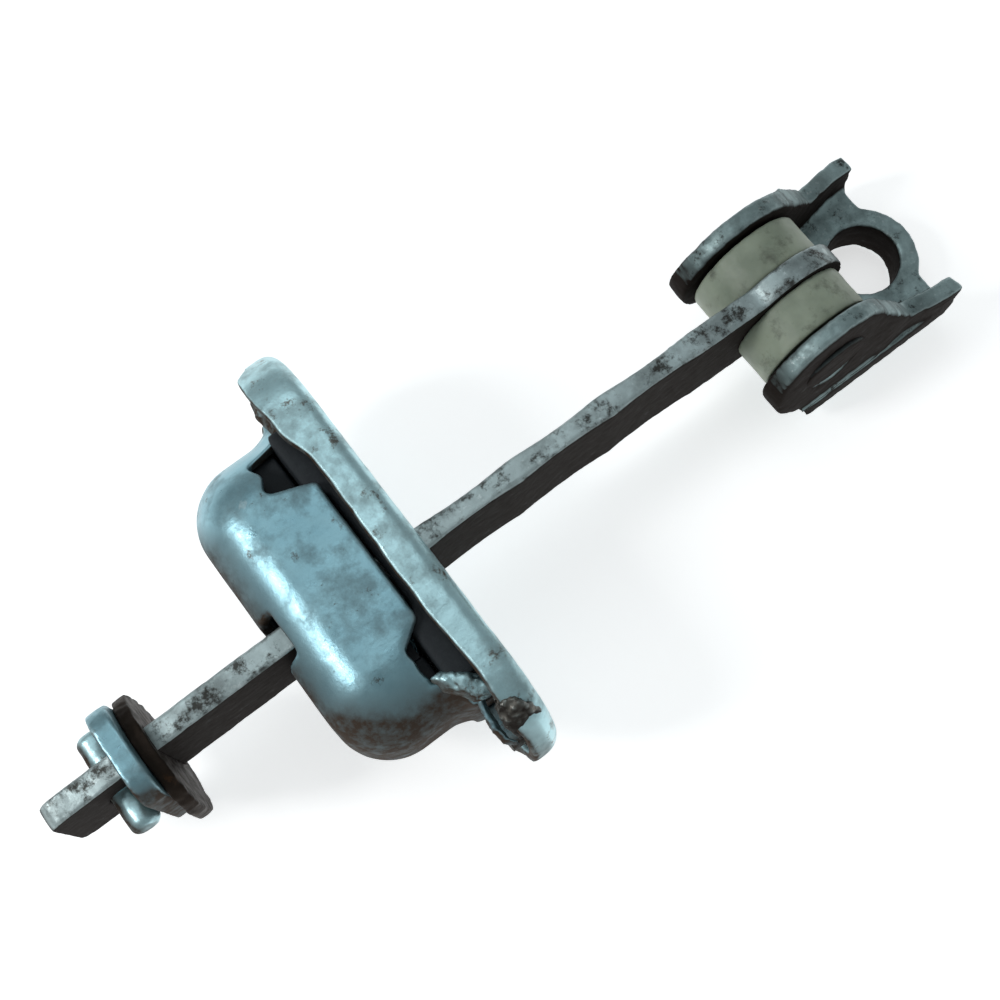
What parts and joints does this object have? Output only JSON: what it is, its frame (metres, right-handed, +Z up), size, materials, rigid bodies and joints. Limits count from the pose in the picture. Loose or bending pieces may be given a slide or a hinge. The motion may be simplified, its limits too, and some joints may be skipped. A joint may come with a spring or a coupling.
{
  "type": "door check link",
  "caption": "Door check link: an arched steel strap slides through a sprung, slotted housing and ends in a hinged bracket with a bolt eye; an end stop limits the travel.",
  "frame": {"origin": "centre of the housing's front face, midway between its two screw holes", "axes": "+X out of the housing's front face along the strap towards the hinge bracket, Y along the housing and the pivot pin, +Z up, away from the bracket's web"},
  "size_m": [0.1545, 0.068, 0.0362],
  "materials": {
    "plated_steel": "worn zinc plating, satin",
    "worn_strap_steel": "worn grey steel with grime and light rust",
    "forged_steel": "dull forged steel, dirty",
    "rusty_steel": "dark, oily, lightly rusted",
    "bright_steel": "polished by rolling",
    "bronze": "sintered bronze",
    "black_rubber": "matt black rubber",
    "black_plastic": "dark moulded plastic",
    "nylon": "dirty off-white nylon"
  },
  "bodies": {
    "housing": {"mounting_plate": "plated_steel", "housing_cup": "plated_steel", "clinch_nuts": "plated_steel", "slot_seal": "black_rubber", "rubber_buffer_left": "black_rubber", "rubber_buffer_right": "black_rubber"},
    "shoe_left": {"roller_shoe_left": "black_plastic", "roller_axle_left": "bright_steel", "roller_bush_left": "bronze"},
    "shoe_right": {"roller_shoe_right": "black_plastic", "roller_axle_right": "bright_steel", "roller_bush_right": "bronze"},
    "drum_left": {"roller_left": "bright_steel"},
    "drum_right": {"roller_right": "bright_steel"},
    "strap": {"check_strap": "worn_strap_steel", "stop_plate": "plated_steel", "stop_buffer": "rusty_steel", "stop_pin": "plated_steel", "pivot_bush_left": "nylon", "pivot_bush_right": "nylon"},
    "bracket": {"hinge_bracket": "forged_steel", "pivot_pin": "forged_steel", "pin_washer": "forged_steel"}
  },
  "joints": [
    {"name": "strap_slide", "type": "slide", "parent": "housing", "child": "strap", "axis": [1, 0, 0], "range_m": [-0.04, 0.0165]},
    {"name": "bracket_hinge", "type": "hinge", "parent": "strap", "child": "bracket", "pos_m": [0.065, -0.002, -0.003], "axis": [0, 1, 0], "range_deg": [-75, 20]},
    {"name": "shoe_left_slide", "type": "slide", "parent": "housing", "child": "shoe_left", "axis": [0, 1, 0], "range_m": [0, 0.0012], "stiffness_N_per_m": 1500, "deforming": ["rubber_buffer_left"]},
    {"name": "shoe_right_slide", "type": "slide", "parent": "housing", "child": "shoe_right", "axis": [0, -1, 0], "range_m": [0, 0.0012], "stiffness_N_per_m": 1500, "deforming": ["rubber_buffer_right"]},
    {"name": "roller_left_spin", "type": "hinge", "parent": "shoe_left", "child": "drum_left", "pos_m": [-0.0143, 0.00475, 0], "axis": [0, 0, 1], "range_deg": [-510, 215]},
    {"name": "roller_right_spin", "type": "hinge", "parent": "shoe_right", "child": "drum_right", "pos_m": [-0.0143, -0.00875, 0], "axis": [0, 0, 1], "range_deg": [-215, 510]}
  ],
  "couplings": [
    {"joint": "roller_left_spin", "follows": "strap_slide", "rad_per_m": 217.39},
    {"joint": "roller_right_spin", "follows": "strap_slide", "rad_per_m": -217.39}
  ]
}
